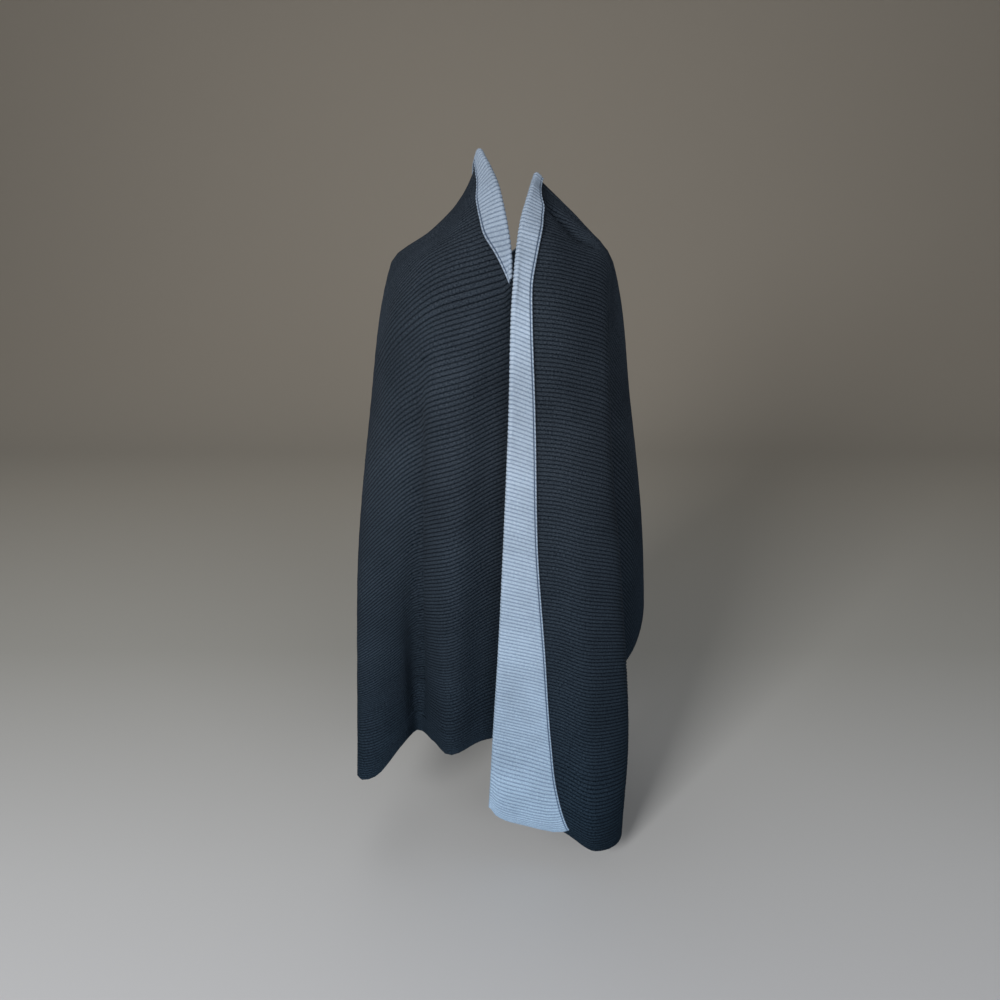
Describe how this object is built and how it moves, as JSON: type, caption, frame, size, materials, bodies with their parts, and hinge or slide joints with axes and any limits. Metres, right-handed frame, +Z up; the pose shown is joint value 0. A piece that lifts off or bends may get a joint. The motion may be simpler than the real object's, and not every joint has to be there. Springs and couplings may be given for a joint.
{
  "type": "shawl",
  "caption": "Large reversible ribbed-knit shawl, worn over the shoulders with its fronts hanging open and one edge turned back.",
  "frame": {"origin": "middle of the neck opening, at the height where the cloth lies on the shoulders", "axes": "+Z up along the hanging length, -Y out of the front, +X to the viewer's right of the front"},
  "size_m": [0.5365, 0.4199, 1.1882],
  "materials": {
    "left_front": "matte heathered rib knit, dark outer face and pale blue-grey inner face",
    "left_shoulder": "matte heathered rib knit, dark outer face and pale blue-grey inner face",
    "back": "matte heathered rib knit, dark outer face and pale blue-grey inner face",
    "right_shoulder": "matte heathered rib knit, dark outer face and pale blue-grey inner face",
    "right_front": "matte heathered rib knit, dark outer face and pale blue-grey inner face",
    "left_collar": "matte heathered rib knit, pale blue-grey face showing",
    "back_collar": "matte heathered rib knit, pale blue-grey face showing",
    "revers_band": "matte heathered rib knit, pale blue-grey face showing"
  },
  "bodies": {
    "root": {"left_front": "left_front", "left_shoulder": "left_shoulder", "back": "back", "right_shoulder": "right_shoulder", "right_front": "right_front", "left_collar": "left_collar", "back_collar": "back_collar", "revers_band": "revers_band"}
  },
  "joints": []
}
